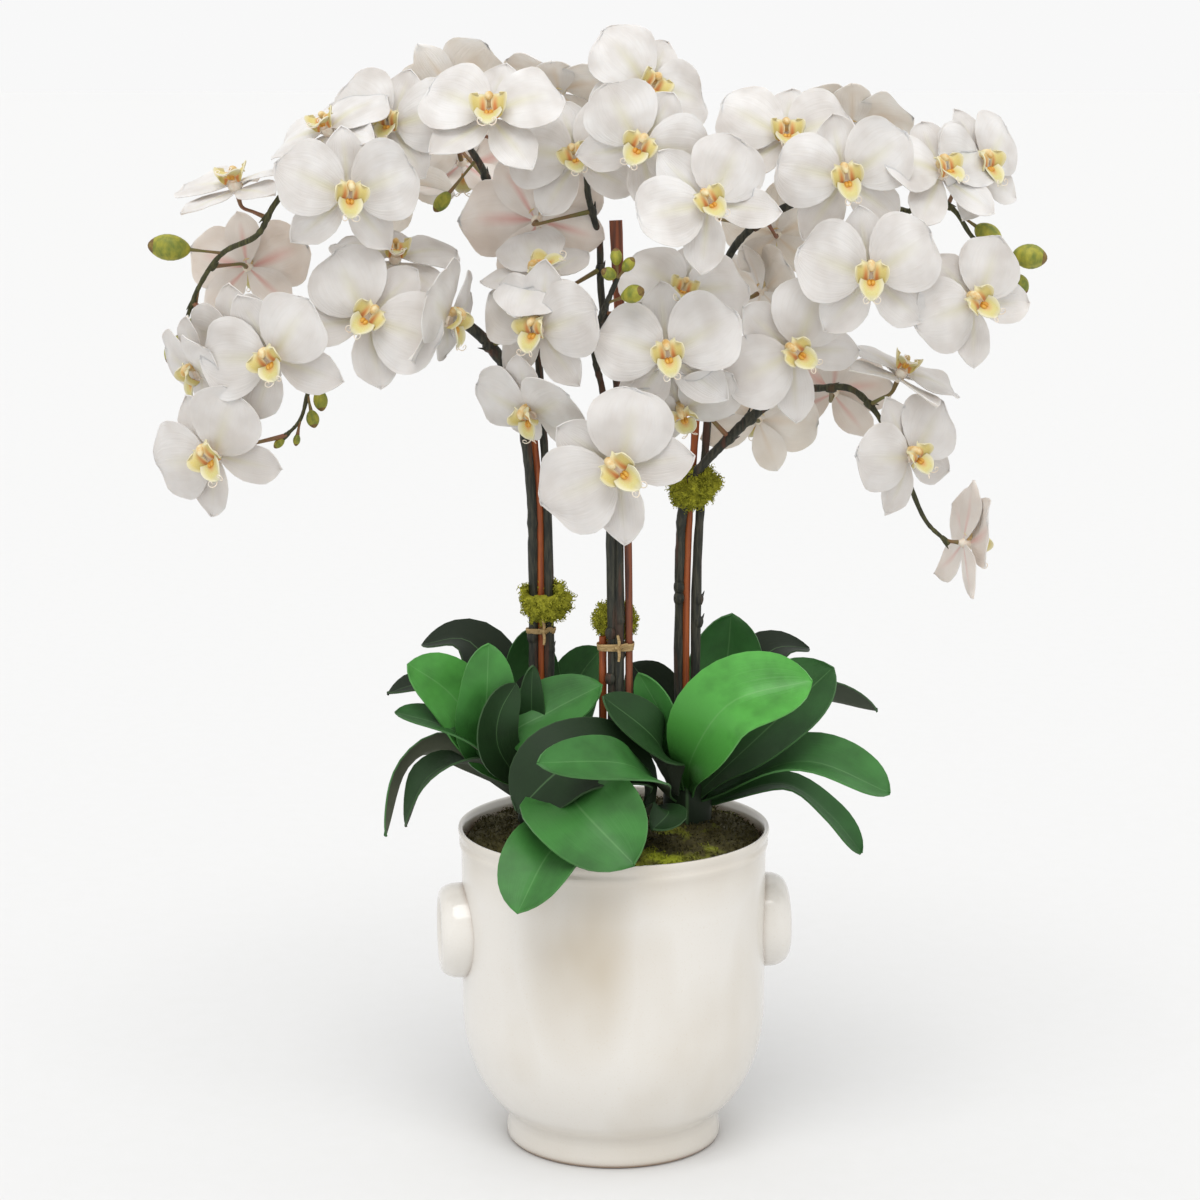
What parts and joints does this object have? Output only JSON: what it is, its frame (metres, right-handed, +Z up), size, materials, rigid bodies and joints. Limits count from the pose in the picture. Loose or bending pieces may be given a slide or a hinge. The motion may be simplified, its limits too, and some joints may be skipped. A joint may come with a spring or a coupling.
{
  "type": "potted orchid",
  "caption": "Potted moth orchid with arching sprays of white flowers, broad green leaves and stakes in a footed ceramic pot with side lugs.",
  "frame": {"origin": "centre of the flat underside of the pot's foot", "axes": "+Z up, front of the plant towards -Y, +X to the right seen from the front"},
  "size_m": [0.6043, 0.2615, 0.7789],
  "materials": {
    "ceramic": "glossy ivory glaze",
    "soil": "matte dark potting mix",
    "moss": "matte moss",
    "tuft": "matte yellow-green moss",
    "leaf": "waxy green leaf",
    "stem": "dark green stem",
    "stake": "stained orange-brown stick",
    "raffia": "dry straw",
    "petal": "soft white petal"
  },
  "bodies": {
    "root": {"pot": "ceramic", "stake_left": "stake", "stake_centre": "stake", "stake_centre_short": "stake", "stake_right": "stake", "bloom_left_01": "petal", "bloom_left_02": "petal", "bloom_left_03": "petal", "bloom_left_04": "petal", "bloom_left_06": "petal", "bloom_left_07": "petal", "bloom_left_13": "petal", "bloom_left_16": "petal", "bloom_left_09": "petal", "bloom_left_10": "petal", "bloom_left_12": "petal", "bloom_left_15": "petal", "bloom_centre_09": "petal", "bloom_centre_01": "petal", "bloom_centre_02": "petal", "bloom_centre_03": "petal", "bloom_centre_05": "petal", "bloom_centre_06": "petal", "bloom_centre_08": "petal", "bloom_centre_12": "petal", "bloom_centre_10": "petal", "bloom_centre_11": "petal", "bloom_centre_04": "petal", "bloom_right_01": "petal", "bloom_right_02": "petal", "bloom_right_03": "petal", "bloom_right_06": "petal", "bloom_right_07": "petal", "bloom_right_12": "petal", "bloom_right_08": "petal", "bloom_right_09": "petal", "bloom_right_10": "petal", "bloom_right_11": "petal", "bloom_right_13": "petal", "bloom_right_15": "petal", "spike_left_upper": "stem", "spike_left_lower": "stem", "spike_centre_front": "stem", "spike_centre_upper": "stem", "spike_right_upper": "stem", "spike_right_lower": "stem", "rosette_left": "leaf", "rosette_centre": "leaf", "rosette_right": "leaf", "potting_mix": "soil", "moss_bed": "moss", "raffia_tie_centre": "raffia", "raffia_tie_left": "raffia", "moss_tuft_left": "tuft", "moss_tuft_centre": "tuft", "moss_tuft_right": "tuft"}
  },
  "joints": []
}
